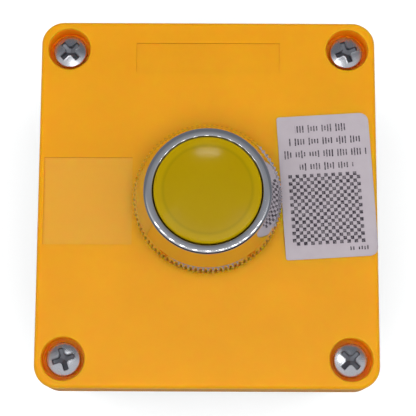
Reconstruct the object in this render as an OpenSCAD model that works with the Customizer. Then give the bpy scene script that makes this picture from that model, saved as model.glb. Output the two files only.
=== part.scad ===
// One-hole control station: a moulded box with an illuminated 22 mm
// pushbutton in its lid. The box lies on its wall face, so the button
// points up (+Z), and the cable entry is on the -Y side.
// Lengths are in millimetres. The button's axis is the Z axis.

/* [Enclosure] */
// Width of the lid
case_w = 68; // [66:0.5:90]
// Length of the lid
case_l = 74.6; // [73:0.5:110]
// Height from the wall face to the face of the lid
case_h = 54; // [52:0.5:90]
// Height of the lid
lid_h = 10; // [9:0.5:16]
// Outer corner radius of the lid
corner_r = 4.6; // [3:0.1:6]
// Rounding of the lid's upper edge
edge_r = 0.9; // [0.4:0.1:1.2]
// Thickness of the lid where the button passes through
panel_t = 3; // [2:0.1:4]
// Wall of the base
wall = 2.5; // [1.8:0.1:3]
// Thickness of the base's floor
floor_t = 2.8; // [2.4:0.1:4]
// How far the base's rim stands back from the lid's side
base_step = 0.5; // [0.2:0.1:0.8]
// How much further the base draws in on its way to the wall face
base_taper = 2.6; // [0.5:0.1:3]
// Rounding of the base's corners at its rim
base_corner_r = 4.1; // [3:0.1:5]
// Chamfer round the wall face
foot_chamfer = 0.6; // [0.3:0.1:1]
// Depth of the shallow field in the wall face
back_recess = 0.7; // [0.4:0.1:1]
// Width of the border round that field
back_border = 5; // [4:0.5:8]

/* [Lid screws] */
// Distance of the lid screws from the lid's long sides
screw_in_x = 5.7; // [5.5:0.1:6]
// Distance of the lid screws from the lid's short sides
screw_in_y = 5.8; // [5.6:0.1:6.2]
// Shank diameter of a lid screw
screw_d = 3.4; // [3:0.1:3.6]
// Length of a lid screw under its head
screw_len = 20; // [16:1:24]
// Head diameter of a lid screw
head_d = 6.5; // [6.2:0.1:7.2]
// Head height of a lid screw
head_h = 2.6; // [2.2:0.1:2.8]
// Rise of the head's dome
head_dome = 0.6; // [0.4:0.1:1.4]
// Arm length of the cross recess, tip to tip
cross_l = 4.3; // [3:0.1:4.4]
// Arm width of the cross recess
cross_w = 1; // [0.8:0.05:1.1]
// Depth of the cross recess
cross_depth = 1.7; // [1:0.1:1.9]
// Diameter of the counterbore round a screw head
counterbore_d = 8.5; // [8:0.1:9]
// Rounding of that counterbore's rim
counterbore_round = 0.3; // [0.1:0.05:0.4]
// Depth of a screw head's top below the lid face
head_sink = 1.3; // [0.8:0.1:1.6]
// Radial play of a lid screw in the lid
screw_play = 0.3; // [0.2:0.05:0.4]

/* [Lid seal] */
// Distance from the lid's side to the middle of the seal
seal_in = 2.3; // [2.1:0.1:2.6]
// Width of the seal
seal_w = 1; // [0.8:0.05:1.1]
// Height of the seal
seal_t = 0.8; // [0.6:0.1:1.2]
// Height of the base's tongue that presses on the seal
tongue_h = 1; // [0.8:0.1:1.4]
// Width of that tongue
tongue_w = 0.8; // [0.6:0.1:0.9]
// Wall left inside the seal groove
lip_t = 0.9; // [0.7:0.1:1.2]
// Radius at which the seal passes a screw
notch_r = 5.2; // [5:0.1:5.4]

/* [Lid face] */
// Width of the shallow field above the button
field_w = 29.2; // [20:0.1:34]
// Height of that field
field_h = 6.1; // [4:0.1:7]
// Distance of that field from the lid's end
field_in = 4.5; // [3:0.1:6]
// Size of the square fields beside the button
square_s = 17.7; // [12:0.1:18]
// Distance of the square fields from the lid's sides
square_in = 1.2; // [1:0.1:2]
// Depth of all three fields
field_depth = 0.25; // [0.1:0.05:0.5]
// Height of the ribs under the lid
rib_h = 2; // [1:0.1:3]
// Thickness of the ribs under the lid
rib_t = 1.5; // [1:0.1:2]

/* [Paper label] */
// Width of the label
label_w = 18.5; // [14:0.1:18.6]
// Length of the label
label_l = 29.2; // [20:0.1:30]
// Turn of the label, counter-clockwise in degrees
label_turn = 3.6; // [0:0.1:4]
// Shift of the label's middle along its length
label_shift = 1.7; // [-2:0.1:3]
// Gap between the label and the ring nut
label_gap = 0.15; // [0.1:0.05:0.5]
// Thickness of the label
label_t = 0.12; // [0.1:0.01:0.2]
// Radius of the label's right-hand corners
label_r = 1.8; // [0.5:0.1:3]
// Radius of the label's left-hand corners
label_left_r = 0.5; // [0.2:0.1:3]

/* [Cable entries] */
// Diameter of the cable entry
entry_d = 20.4; // [16:0.1:20.5]
// Height of the entry's axis above the wall face
entry_z = 21; // [17:0.5:24]
// Wall of the boss round the entry
entry_wall = 2.4; // [2:0.1:3]
// How far that boss stands in from the wall at the rim
entry_boss = 4.8; // [4:0.1:6]
// Width of the groove round the knock-out
knockout_groove = 0.8; // [0.5:0.1:1.2]
// Material left under that groove
knockout_web = 0.9; // [0.5:0.1:1.2]

/* [Wall mounting] */
// Spacing of the two mounting holes
mount_dy = 54; // [50:0.5:56]
// Diameter of a mounting hole
mount_d = 4.5; // [4:0.1:5]
// Diameter of the boss round a mounting hole
mount_boss_d = 10; // [8:0.5:12]
// Height of that boss above the floor
mount_boss_h = 1.2; // [0.5:0.1:2]

/* [Ring nut] */
// Diameter over the knurl
ring_d = 29.4; // [28.6:0.1:29.6]
// Height of the ring nut
ring_h = 11.2; // [10.6:0.1:13]
// Diameter of its top, over the rounded edge
ring_top_d = 25; // [24.2:0.1:26]
// Diameter where its wall meets the knurl
ring_neck_d = 28.2; // [27:0.1:28.6]
// Rounding of its upper edge
ring_round = 0.8; // [0.3:0.1:0.9]
// Chamfer of its bore
ring_chamfer = 0.2; // [0.1:0.1:0.5]
// Height of the knurled band
grip_h = 5; // [4:0.1:5.5]
// Height of the slope at the top of the knurl
grip_slope = 0.8; // [0.4:0.1:1.2]
// Chamfer at the foot of the knurl
grip_chamfer = 0.4; // [0.2:0.1:0.6]
// Number of teeth of the knurl
teeth = 92; // [60:1:100]
// Depth of the knurl
tooth_depth = 0.35; // [0.2:0.05:0.5]

/* [Lens] */
// Diameter of the lens
lens_d = 20.9; // [20:0.1:21.2]
// Radial gap between the lens and the bore of the ring nut
lens_gap = 0.25; // [0.15:0.05:0.35]
// Height of the lens's edge above the ring nut
lens_proud = 0.7; // [0.3:0.1:1]
// Rise of the dome from edge to middle
lens_dome = 0.9; // [0.4:0.1:1.4]
// Rounding of the lens's edge
lens_round = 0.6; // [0.3:0.1:0.8]
// Thickness of the lens's rim
rim_t = 1.8; // [1.4:0.1:2]
// Thickness of the lens's window
window_t = 1.3; // [1:0.1:1.6]
// Diameter of the lens's skirt
skirt_d = 17.2; // [16.6:0.1:17.4]
// Wall of the lens's skirt
skirt_wall = 1.2; // [0.8:0.1:1.6]
// Length of the lens's skirt under the rim
skirt_l = 3.6; // [2.5:0.1:4]
// Play of the lens's skirt in the tube
skirt_play = 0.05; // [0.03:0.01:0.08]
// Thickness of the diffuser
diffuser_t = 1; // [0.6:0.1:1.4]
// Travel of the button
travel = 4; // [3:0.1:4.2]

/* [Housing] */
// Diameter of the hole in the lid
hole_d = 22.5; // [22.3:0.1:23]
// Diameter of the threaded barrel
barrel_d = 21.9; // [21.8:0.05:22]
// Bore of the barrel
barrel_bore_d = 19.5; // [19.3:0.1:19.7]
// Height of the barrel above the lid face
barrel_up = 5; // [4.5:0.1:5.2]
// Radial play of the thread
thread_play = 0.05; // [0.02:0.01:0.1]
// Radial play of the parts that slide
slide_play = 0.08; // [0.05:0.01:0.1]
// Thickness of the gasket under the lid
gasket_t = 1; // [0.8:0.1:1.5]
// Outer diameter of that gasket
gasket_d = 28; // [26:0.1:29]
// Side of the square housing
housing_s = 30; // [29:0.5:32]
// Corner radius of the housing
housing_r = 5; // [3:0.5:6]
// Height of the housing
housing_h = 14; // [13.5:0.5:15]
// Thickness of the housing's shoulder under the lid
shoulder_t = 3.5; // [3:0.1:3.6]
// Diameter of the chamber under the shoulder
chamber_d = 24.8; // [24.6:0.1:25]
// Width of the guide ribs in the chamber
guide_w = 2; // [1.6:0.1:2.4]
// How far the guide ribs stand into the chamber
guide_in = 1.1; // [0.8:0.1:1.4]
// Width of the windows in the housing's sides
window_w = 12; // [8:0.5:14]
// Distance of the windows from the chamber's ends
window_in = 1.8; // [1.4:0.1:2.2]
// Width of the key that keeps the housing from turning in the lid
key_w = 2.9; // [2.4:0.1:3.2]
// How far that key stands out from the barrel
key_out = 1.5; // [1:0.1:1.6]
// Play of the key in the lid's notch
key_play = 0.15; // [0.1:0.05:0.25]
// Radial play of the barrel in the gasket
gasket_play = 0.3; // [0.2:0.05:0.4]

/* [Push tube] */
// Bore of the push tube
tube_bore_d = 16; // [15:0.1:16.2]
// Thickness of the tube's foot
foot_t = 2.3; // [2:0.1:2.6]
// Bore of the foot
foot_bore_d = 13.8; // [13.6:0.1:14]
// Radial play of the foot in the chamber
foot_play = 0.2; // [0.15:0.05:0.3]
// Gap between the foot and the shoulder at rest
stop_gap = 0.3; // [0.2:0.05:0.4]
// Thickness of a leg, across
leg_x = 3.4; // [2.8:0.1:3.5]
// Width of a leg, along the blocks
leg_y = 4.6; // [3:0.1:4.8]
// Gap between a pressed leg and the block under it
leg_gap = 0.3; // [0.2:0.1:0.6]
// Section diameter of the O-ring
oring_t = 0.6; // [0.5:0.05:0.7]
// Depth of the O-ring's middle below the top of the barrel at rest
oring_down = 5; // [4.4:0.1:6]
// Wire of the return spring
spring_wire = 0.9; // [0.7:0.05:0.9]
// Mean diameter of the return spring
spring_d = 15.2; // [14.8:0.1:15.4]
// Turns of the return spring
spring_turns = 3.5; // [3:0.5:4]

/* [Carrier plate] */
// Thickness of the carrier plate
plate_t = 2.5; // [2:0.1:3]
// Width of the carrier plate
plate_w = 32; // [31:0.5:34]
// Length of the carrier plate
plate_l = 41; // [39:0.5:44]
// Corner radius of the carrier plate
plate_r = 2; // [1:0.5:4]
// Spacing of the carrier's screws, both ways
plate_screw_d = 23.6; // [23:0.1:24]
// Shank diameter of a carrier screw
m_screw_d = 2.5; // [2:0.1:2.6]
// Head diameter of a carrier screw
m_head_d = 4.6; // [4:0.1:5]
// Head height of a carrier screw
m_head_h = 1.2; // [1:0.1:1.3]
// Arm length of a carrier screw's recess, tip to tip
m_cross_l = 2.3; // [1.8:0.1:2.4]
// Arm width of a carrier screw's recess
m_cross_w = 0.6; // [0.4:0.05:0.7]
// Depth of a carrier screw's recess
m_cross_depth = 0.6; // [0.4:0.1:0.8]
// Length of a carrier screw
m_screw_len = 8; // [6:0.5:10]
// Play of the blocks' hooks, collar and screws in the carrier plate
carrier_play = 0.15; // [0.1:0.05:0.2]
// Play round legs and stems in the carrier plate
slot_play = 0.3; // [0.2:0.05:0.4]

/* [Blocks] */
// Width of a block
block_w = 10; // [9.6:0.1:10.2]
// Length of a block
block_l = 40; // [38:0.5:42]
// Height of a block
block_h = 21.5; // [21:0.5:23]
// Pitch of the blocks
block_pitch = 10.2; // [10.2:0.1:10.4]
// Wall of a block
block_wall = 1.2; // [1:0.1:1.4]
// Wall between a block's chamber and its terminal bays
partition_t = 2; // [1.8:0.1:2.4]
// Length of a terminal bay
bay_l = 6.2; // [6:0.1:6.6]
// Height of the terminal pad above the block's underside
pad_up = 4.6; // [4.4:0.1:5]
// Distance of the terminal strips from the block's ends
pad_in = 0.6; // [0.4:0.1:0.8]
// Width of a hook that holds a block
hook_w = 4; // [3:0.1:5]
// Thickness of a hook
hook_t = 1.4; // [1.2:0.1:1.6]
// Barb of a hook
hook_barb = 0.8; // [0.5:0.1:1]
// Height of a hook above the carrier plate
hook_up = 1.2; // [0.8:0.1:1.4]
// Distance of a hook from the block's end
hook_in = 2; // [1.6:0.1:2.4]

/* [Contacts] */
// Width of a stem inside its block, across the block
stem_x = 5; // [4.6:0.1:5.2]
// Width of its neck, which stands out of the block
neck_x = 3.4; // [2.8:0.1:3.5]
// Width of a stem, along the block
stem_y = 4; // [3.4:0.1:4.4]
// Play of a stem in its guide, each side
stem_play = 0.1; // [0.05:0.01:0.15]
// Height of the window above the bridge in the stem of the normally open block
no_window_h = 2.4; // [2:0.1:2.6]
// Height of the window below the bridge in the stem of the normally closed block
nc_window_h = 2.4; // [2:0.1:2.6]
// Length of a stem below the block's top
stem_down = 12; // [11:0.1:12.4]
// Depth of a bridge below the block's top
bridge_down = 6.9; // [6.6:0.1:7.2]
// Thickness of a bridge
bridge_t = 0.8; // [0.6:0.1:1]
// Width of a bridge
bridge_w = 3; // [2.6:0.1:3.2]
// Length of a bridge
bridge_l = 17.4; // [16:0.1:18]
// Diameter of a contact tip
tip_d = 2.4; // [2:0.1:2.6]
// Height of a contact tip
tip_h = 0.6; // [0.4:0.1:0.7]
// Distance of the contact tips from the stem's axis
tip_y = 7.4; // [7:0.1:7.6]
// How far a fixed contact's strip reaches past its tip
arm_past = 0.3; // [0.2:0.1:0.6]
// Gap between the contacts that stays where they meet
tip_gap = 0.2; // [0.15:0.05:0.25]
// Thickness of a terminal strip
strip_t = 0.8; // [0.6:0.1:0.9]
// Width of a terminal strip
strip_w = 5; // [4:0.1:5.6]
// Clearance of a strip in its moulding
strip_play = 0.1; // [0.05:0.01:0.15]
// Wire of a contact spring
c_spring_wire = 0.45; // [0.35:0.05:0.5]
// Mean diameter of a contact spring
c_spring_d = 3; // [2.6:0.1:3.2]
// Turns of a contact spring
c_spring_turns = 6; // [4:0.5:6.5]
// Shank diameter of a terminal screw
t_screw_d = 3.4; // [3:0.1:3.5]
// Length of a terminal screw under its head
t_screw_len = 8; // [6:0.5:10]
// Head diameter of a terminal screw
t_head_d = 5.8; // [5:0.1:6]
// Head height of a terminal screw
t_head_h = 2.2; // [1.8:0.1:2.4]
// Arm length of a terminal screw's recess, tip to tip
t_cross_l = 3.6; // [3:0.1:4]
// Arm width of a terminal screw's recess
t_cross_w = 0.9; // [0.7:0.05:1]
// Depth of a terminal screw's recess
t_cross_depth = 1.4; // [1:0.1:1.6]
// Thickness of a clamp plate
clamp_t = 1; // [0.8:0.1:1.2]
// Width of a clamp plate
clamp_w = 6; // [5.4:0.1:6.2]
// Length of a clamp plate
clamp_l = 5; // [4.6:0.1:5.2]

/* [Lamp] */
// Diameter of the lamp's cap
lamp_d = 9.2; // [9:0.1:9.3]
// Length of the lamp's cap
lamp_cap_l = 9.5; // [9:0.1:10]
// Length of the lamp's glass
glass_l = 12; // [10:0.1:12.4]
// How far the lamp's neck stands in from its cap
neck_in = 0.3; // [0.1:0.1:0.6]
// Length of the lamp's neck
neck_h = 1; // [0.6:0.1:1.4]
// Widest diameter of the lamp's glass
glass_d = 9.8; // [9:0.1:10]
// Wall of the lamp's socket
socket_wall = 0.5; // [0.4:0.05:0.6]
// Radial play of the lamp in its socket
socket_play = 0.15; // [0.1:0.01:0.2]
// Height of the socket
socket_h = 12; // [11:0.1:12.5]
// Height of the socket's floor above the block
socket_up = 0.5; // [0.4:0.1:1]
// Height of the lamp above the socket's floor
lamp_up = 2.4; // [2:0.1:3]
// Wall of the collar round the socket
collar_wall = 1; // [0.8:0.1:1.1]
// Height of that collar above the block
collar_h = 9.5; // [8:0.5:10.5]
// Diameter of the lamp's end contact
end_contact_d = 3; // [2.4:0.1:3.4]
// Height of the lamp's end contact
end_contact_h = 0.6; // [0.4:0.1:0.8]
// Height of the lamp block's strips below the block's top
lamp_arm_down = 3.9; // [3.5:0.1:4.3]
// Distance from the lamp's axis to the strip that carries the socket
shell_arm_y = 3.1; // [2.9:0.1:3.4]
// Width of the tab between that strip and the socket
tab_w = 3; // [2:0.1:3.4]
// How far the other strip reaches past the lamp's axis
centre_arm_past = 1.2; // [1:0.1:1.3]

/* [Hidden] */
$fn = 64;
// A cut runs past the face that it opens by this much
eps = 0.1;
// Thickness of the slices that a tapered form is stretched between
slice = 0.01;
// Turn of the recess in the near left, far left, near right and far right lid screw
recess_turn = [17, 43, 45, 21];
// Where a knurl tooth's corners lie in its pitch: two at the tip, two at the root
tooth_corners = [0, 0.35, 0.5, 0.85];

screw_dx = case_w - 2 * screw_in_x;
screw_dy = case_l - 2 * screw_in_y;
lid_z = case_h - lid_h;
under_z = case_h - panel_t;
seal_play = 0.05;
groove_half = seal_w / 2 + seal_play;
groove_depth = tongue_h + seal_t;
lid_lip = groove_half + lip_t;
post_r = notch_r + tongue_w / 2 + lip_t;
back_r = 3;
rib_gap = 2;
counterbore_depth = head_sink + head_h;
head_z = case_h - counterbore_depth;
pilot_play = 0.05;
pilot_d = screw_d + 2 * pilot_play;
pilot_spare = 2;

barrel_r = barrel_d / 2;
ring_thread_r = barrel_r + thread_play;
ring_bore_r = lens_d / 2 + lens_gap;
ring_top_z = case_h + ring_h;
thread_run_out = 0.3;
// How far the wall of the ring nut reaches down into its knurl
neck_down = 1;
thread_end_z = barrel_up + thread_run_out;
lens_edge_z = ring_top_z + lens_proud;
rim_z = lens_edge_z - rim_t;
skirt_z = rim_z - skirt_l;
ceiling_z = lens_edge_z - window_t;

housing_top = under_z - gasket_t;
plate_top = housing_top - housing_h;
shoulder_z = housing_top - shoulder_t;
foot_top = shoulder_z - stop_gap;
foot_z = foot_top - foot_t;
tube_r = barrel_bore_d / 2 - slide_play;
oring_proud = 0.03;
oring_play = 0.1;
oring_r = tube_r + oring_proud - oring_t / 2;
oring_z = case_h + barrel_up - oring_down;
foot_r = chamber_d / 2 - foot_play;

block_top = plate_top - plate_t;
leg_tip = block_top + travel + leg_gap;
block_z = block_top - block_h;
half_l = block_l / 2;
chamber_y = half_l - bay_l - partition_t;
chamber_x = block_w / 2 - block_wall;
pad_z = block_z + pad_up;
riser_y = chamber_y + (partition_t - strip_t) / 2;
outer_y = half_l - pad_in;
screw_y = half_l - bay_l / 2;
stem_gap = 0.2;
stem_top = leg_tip - stem_gap;
bore_play = 0.1;
stem_z = block_top - stem_down;
bridge_z = block_top - bridge_down;
no_arm_z = bridge_z - tip_h - travel - tip_gap - tip_h - strip_t;
nc_arm_z = bridge_z + bridge_t + tip_h + tip_gap + tip_h;
lamp_arm_z = block_top - lamp_arm_down;
hook_y = half_l - hook_in;
hook_top = plate_top + hook_up;
hook_gap = 0.05;

socket_z = block_top + socket_up;
socket_bore_r = lamp_d / 2 + socket_play;
socket_r = socket_bore_r + socket_wall;
socket_fit = 0.05;
// Width by which the socket's floor clears the lamp's end contact
socket_spare = 1.4;
// How far the socket's slots run round it
slot_turn = 30;
collar_r = socket_r + socket_fit + collar_wall;
lamp_z = socket_z + socket_wall + lamp_up;
pin_z = lamp_z + lamp_cap_l / 2;
pin_r = 0.9;
pin_play = 0.15;
pin_turn = 18;

function arc(x, z, r, from, to, n) =
    [for (i = [0:n]) let (a = from + (to - from) * i / n) [x + r * cos(a), z + r * sin(a)]];

// Repeats its children in all four corners, each the mirror of the next
module four_corners(x, y) {
    for (mx = [0, 1], my = [0, 1])
        mirror([mx, 0, 0]) mirror([0, my, 0]) translate([x, y, 0]) children();
}

module both_ends() {
    for (my = [0, 1])
        mirror([0, my, 0]) children();
}

module round_rect(w, l, r) {
    difference() {
        square([w, l], center = true);
        four_corners(w / 2 - r, l / 2 - r) difference() {
            square(r + 1);
            circle(r);
        }
    }
}

module box(x, y, z) {
    translate([x[0], y[0], z[0]]) cube([x[1] - x[0], y[1] - y[0], z[1] - z[0]]);
}

// Compression spring from z0 to z1, its first and last turns closed
module coil(d, wire, z0, z1, turns, sides = 8, steps = 16) {
    n = round(turns * steps);
    low = z0 + wire / 2;
    high = z1 - wire / 2;
    rise = (high - low - 2 * wire) / (turns - 2);
    function height(u) =
        u < 1 ? low + wire * u
        : u > turns - 1 ? high - wire * (turns - u)
        : low + wire + rise * (u - 1);
    points = [for (i = [0:n], j = [0:sides - 1])
        let (a = 360 * i / steps, b = 360 * j / sides, r = d / 2 + wire / 2 * cos(b))
        [r * cos(a), r * sin(a), height(i / steps) + wire / 2 * sin(b)]];
    sides_a = [for (i = [0:n - 1], j = [0:sides - 1])
        let (k = (j + 1) % sides) [i * sides + j, i * sides + k, (i + 1) * sides + k]];
    sides_b = [for (i = [0:n - 1], j = [0:sides - 1])
        let (k = (j + 1) % sides) [i * sides + j, (i + 1) * sides + k, (i + 1) * sides + j]];
    start = [[for (j = [sides - 1:-1:0]) j]];
    end = [[for (j = [0:sides - 1]) n * sides + j]];
    polyhedron(points, concat(sides_a, sides_b, start, end));
}

// Cross recess, sunk from z = 0, whose arms run up to its rim along a cone
module cross_recess(l, w, depth) {
    intersection() {
        for (a = [0, 90])
            rotate([0, 0, a]) translate([-l / 2, -w / 2, -depth]) cube([l, w, depth + eps]);
        translate([0, 0, -depth]) cylinder(d1 = l / 2, d2 = l, h = depth + eps);
    }
}

// Closed line of the seal, moved outwards by grow
module seal_outline(grow) {
    difference() {
        square([case_w - 2 * seal_in + 2 * grow, case_l - 2 * seal_in + 2 * grow], center = true);
        four_corners(screw_dx / 2, screw_dy / 2) {
            circle(r = notch_r - grow);
            square(2 * notch_r);
        }
    }
}

module seal_ring(half, h) {
    linear_extrude(h) difference() {
        seal_outline(half);
        seal_outline(-half);
    }
}

// Outer form of the lid, grown by the thickness of what is stuck on it
module lid_form(grow = 0) {
    r = corner_r + grow;
    e = edge_r + grow;
    hull() four_corners(case_w / 2 - corner_r, case_l / 2 - corner_r) {
        translate([0, 0, lid_z]) cylinder(r = r, h = lid_h - edge_r, $fn = 48);
        translate([0, 0, case_h - edge_r])
            rotate_extrude($fn = 48) translate([r - e, 0]) circle(e, $fn = 24);
    }
}

// Counterbore with a rounded rim, from z = 0 up to the lid face
module counterbore() {
    r = counterbore_d / 2;
    out = r + counterbore_round;
    rotate_extrude() polygon(concat(
        [[0, 0], [r, 0]],
        arc(out, counterbore_depth - counterbore_round, counterbore_round, 180, 90, 5),
        [[out, counterbore_depth + eps], [0, counterbore_depth + eps]]));
}

module lid_ribs() {
    for (a = [0, 90, 180, 270])
        rotate([0, 0, a]) box([housing_s / 2 + rib_gap, case_l / 2], [-rib_t / 2, rib_t / 2],
            [under_z - rib_h, under_z + eps]);
}

// Key beside the barrel, on the +Y side, that sits in a notch in the lid's hole
module key(z0, z1, play = 0) {
    x = key_w / 2 + play;
    box([-x, x], [0, barrel_r + key_out + play], [z0, z1]);
}

module lid_cover() {
    color("orange") difference() {
        lid_form();
        difference() {
            translate([0, 0, lid_z - eps]) linear_extrude(lid_h - panel_t + eps) seal_outline(-lid_lip);
            lid_ribs();
        }
        translate([0, 0, lid_z - eps]) seal_ring(groove_half, groove_depth + eps);
        translate([0, 0, lid_z - eps]) cylinder(d = hole_d, h = lid_h + 2 * eps);
        key(under_z - eps, case_h + eps, key_play);
        four_corners(screw_dx / 2, screw_dy / 2) {
            translate([0, 0, head_z]) counterbore();
            translate([0, 0, lid_z - eps]) cylinder(r = screw_d / 2 + screw_play, h = lid_h);
        }
        translate([0, case_l / 2 - field_in - field_h / 2, case_h])
            cube([field_w, field_h, 2 * field_depth], center = true);
        for (s = [-1, 1])
            translate([s * (case_w / 2 - square_in - square_s / 2), 0, case_h])
                cube([square_s, square_s, 2 * field_depth], center = true);
    }
}

module lid_seal() {
    color("dimgray") translate([0, 0, lid_z + tongue_h]) seal_ring(seal_w / 2, seal_t);
}

module lid_screws() {
    dome_r = (pow(head_d / 2, 2) + pow(head_dome, 2)) / (2 * head_dome);
    color("silver") for (i = [0, 1], j = [0, 1])
        translate([(i - 0.5) * screw_dx, (j - 0.5) * screw_dy, head_z]) {
            difference() {
                intersection() {
                    cylinder(d = head_d, h = head_h);
                    translate([0, 0, head_h - dome_r]) sphere(dome_r);
                }
                translate([0, 0, head_h]) rotate([0, 0, recess_turn[2 * i + j]])
                    cross_recess(cross_l, cross_w, cross_depth);
            }
            translate([0, 0, -screw_len]) cylinder(d = screw_d, h = screw_len);
        }
}

// Bits that a rounding of radius r takes off the corner at the origin
module corner_bit(r) {
    difference() {
        translate([-1, -1]) square(r + 1);
        translate([r, r]) circle(r);
    }
}

module label_outline() {
    rotate([0, 0, label_turn]) translate([ring_d / 2 + label_gap, label_shift]) difference() {
        translate([0, -label_l / 2]) square([label_w, label_l]);
        both_ends() {
            translate([0, -label_l / 2]) corner_bit(label_left_r);
            translate([label_w, -label_l / 2]) mirror([1, 0]) corner_bit(label_r);
        }
    }
}

module paper_label() {
    color("lightgray") intersection() {
        translate([0, 0, case_h - edge_r]) linear_extrude(2 * edge_r) label_outline();
        difference() {
            lid_form(label_t);
            lid_form();
        }
        box([0, case_w / 2 - slice], [-case_l / 2, case_l / 2], [0, 2 * case_h]);
    }
}

// Levels are pairs of height and inset
module tapered_form(w, l, r, levels) {
    hull() for (level = levels)
        translate([0, 0, level[0]])
            four_corners(w / 2 - level[1] - r, l / 2 - level[1] - r) cylinder(r = r, h = slice, $fn = 32);
}

module base_form() {
    tapered_form(case_w - 2 * base_step, case_l - 2 * base_step, base_corner_r,
        [[0, base_taper + foot_chamfer], [foot_chamfer, base_taper], [lid_z - slice, 0]]);
}

module base_chamber() {
    top_in = seal_in + tongue_w / 2 + lip_t;
    tapered_form(case_w, case_l, base_corner_r - wall,
        [[floor_t, base_step + base_taper + wall], [lid_z, top_in]]);
}

// Places its children on the entry's axis at one end, with +Z into the box
module entry_axis(side) {
    translate([0, side * case_l / 2, entry_z]) rotate([side * 90, 0, 0]) children();
}

module base_bosses() {
    four_corners(screw_dx / 2, screw_dy / 2) cylinder(r = post_r, h = case_h);
    entry_axis(-1) cylinder(d = entry_d + 2 * entry_wall, h = base_step + entry_boss);
    both_ends() translate([0, mount_dy / 2, 0]) cylinder(d = mount_boss_d, h = floor_t + mount_boss_h);
}

module knockout_line() {
    depth = base_step + base_taper + wall - knockout_web;
    entry_axis(1) difference() {
        cylinder(d = entry_d, h = depth);
        translate([0, 0, -eps]) cylinder(d = entry_d - 2 * knockout_groove, h = depth + 2 * eps);
    }
}

module base_case() {
    back_w = case_w - 2 * (base_step + base_taper + back_border);
    back_l = case_l - 2 * (base_step + base_taper + back_border);
    color("dimgray") {
        difference() {
            base_form();
            difference() {
                base_chamber();
                base_bosses();
            }
            four_corners(screw_dx / 2, screw_dy / 2)
                translate([0, 0, head_z - screw_len - pilot_spare]) cylinder(d = pilot_d, h = case_h);
            entry_axis(-1) translate([0, 0, -eps])
                cylinder(d = entry_d, h = base_step + entry_boss + 2 * eps);
            knockout_line();
            both_ends() translate([0, mount_dy / 2, -eps]) cylinder(d = mount_d, h = lid_z);
            difference() {
                translate([0, 0, -eps]) linear_extrude(back_recess + eps)
                    round_rect(back_w, back_l, back_r);
                both_ends() translate([0, mount_dy / 2, -2 * eps]) cylinder(d = mount_boss_d, h = floor_t);
            }
        }
        translate([0, 0, lid_z]) seal_ring(tongue_w / 2, tongue_h);
    }
}

// Knurled band with a slope at the top and a small chamfer at the bottom
module grip_band() {
    root_r = ring_d / 2 - tooth_depth;
    pitch = 360 / teeth;
    intersection() {
        linear_extrude(grip_h) polygon([for (i = [0:teeth - 1], k = [0:3])
            let (a = pitch * (i + tooth_corners[k]), r = k < 2 ? ring_d / 2 : root_r)
            [r * cos(a), r * sin(a)]]);
        rotate_extrude() polygon([[0, 0], [root_r, 0], [ring_d / 2 + slice, grip_chamfer],
            [ring_d / 2 + slice, grip_h - grip_slope], [ring_neck_d / 2, grip_h], [0, grip_h]]);
    }
}

module ring_nut() {
    wall_lean = atan((ring_neck_d - ring_top_d) / 2 / (ring_h - grip_h));
    color("lightsteelblue") translate([0, 0, case_h]) difference() {
        union() {
            grip_band();
            rotate_extrude() polygon(concat(
                [[0, grip_h - neck_down], [ring_neck_d / 2, grip_h - neck_down], [ring_neck_d / 2, grip_h]],
                arc(ring_top_d / 2 - ring_round, ring_h - ring_round, ring_round, wall_lean, 90, 10),
                [[0, ring_h]]));
        }
        translate([0, 0, -eps]) cylinder(r = ring_thread_r, h = thread_end_z + eps);
        cylinder(r = ring_bore_r, h = ring_h + eps);
        translate([0, 0, ring_h - ring_chamfer])
            cylinder(r1 = ring_bore_r, r2 = ring_bore_r + ring_chamfer + eps, h = ring_chamfer + eps);
    }
}

module lens_cap() {
    r = lens_d / 2;
    inner = r - lens_round;
    dome_r = (r * r + lens_dome * lens_dome) / (2 * lens_dome);
    dome_z = lens_edge_z + lens_dome - dome_r;
    round_up = sqrt(pow(dome_r - lens_round, 2) - inner * inner);
    meet = atan2(round_up, inner);
    skirt_r = skirt_d / 2;
    color("gold") rotate_extrude() polygon(concat(
        [[0, ceiling_z], [skirt_r - skirt_wall, ceiling_z], [skirt_r - skirt_wall, skirt_z],
            [skirt_r, skirt_z], [skirt_r, rim_z], [r, rim_z]],
        arc(inner, dome_z + round_up, lens_round, 0, meet, 8),
        arc(0, dome_z, dome_r, meet + (90 - meet) / 16, 90, 15)));
}

module lens_diffuser() {
    color("white") translate([0, 0, ceiling_z - diffuser_t])
        cylinder(r = skirt_d / 2 - skirt_wall - skirt_play, h = diffuser_t);
}

module push_tube() {
    guide_slot = guide_w + 2 * stem_play;
    color("whitesmoke") difference() {
        union() {
            translate([0, 0, foot_z]) cylinder(r = tube_r, h = rim_z - foot_z);
            translate([0, 0, foot_z]) cylinder(r = foot_r, h = foot_t);
            for (s = [-1, 1])
                translate([s * block_pitch, 0, 0])
                    box([-leg_x / 2, leg_x / 2], [-leg_y / 2, leg_y / 2], [leg_tip, foot_top]);
        }
        translate([0, 0, foot_z - eps]) cylinder(d = foot_bore_d, h = foot_t + 2 * eps);
        translate([0, 0, foot_top]) cylinder(d = tube_bore_d, h = case_h);
        translate([0, 0, skirt_z - bore_play]) cylinder(r = skirt_d / 2 + skirt_play, h = case_h);
        both_ends() translate([0, foot_r, foot_z + foot_t / 2])
            cube([guide_slot, 2 * guide_in, foot_t + 2 * eps], center = true);
        translate([0, 0, oring_z - oring_t / 2 - oring_play]) difference() {
            cylinder(r = tube_r + oring_t, h = oring_t + 2 * oring_play);
            cylinder(r = oring_r - oring_t / 2, h = oring_t + 2 * oring_play);
        }
    }
}

module tube_oring() {
    color("black") translate([0, 0, oring_z]) rotate_extrude() translate([oring_r, 0]) circle(d = oring_t);
}

module return_spring() {
    color("silver") coil(spring_d, spring_wire, plate_top, foot_z, spring_turns, 8, 20);
}

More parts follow.
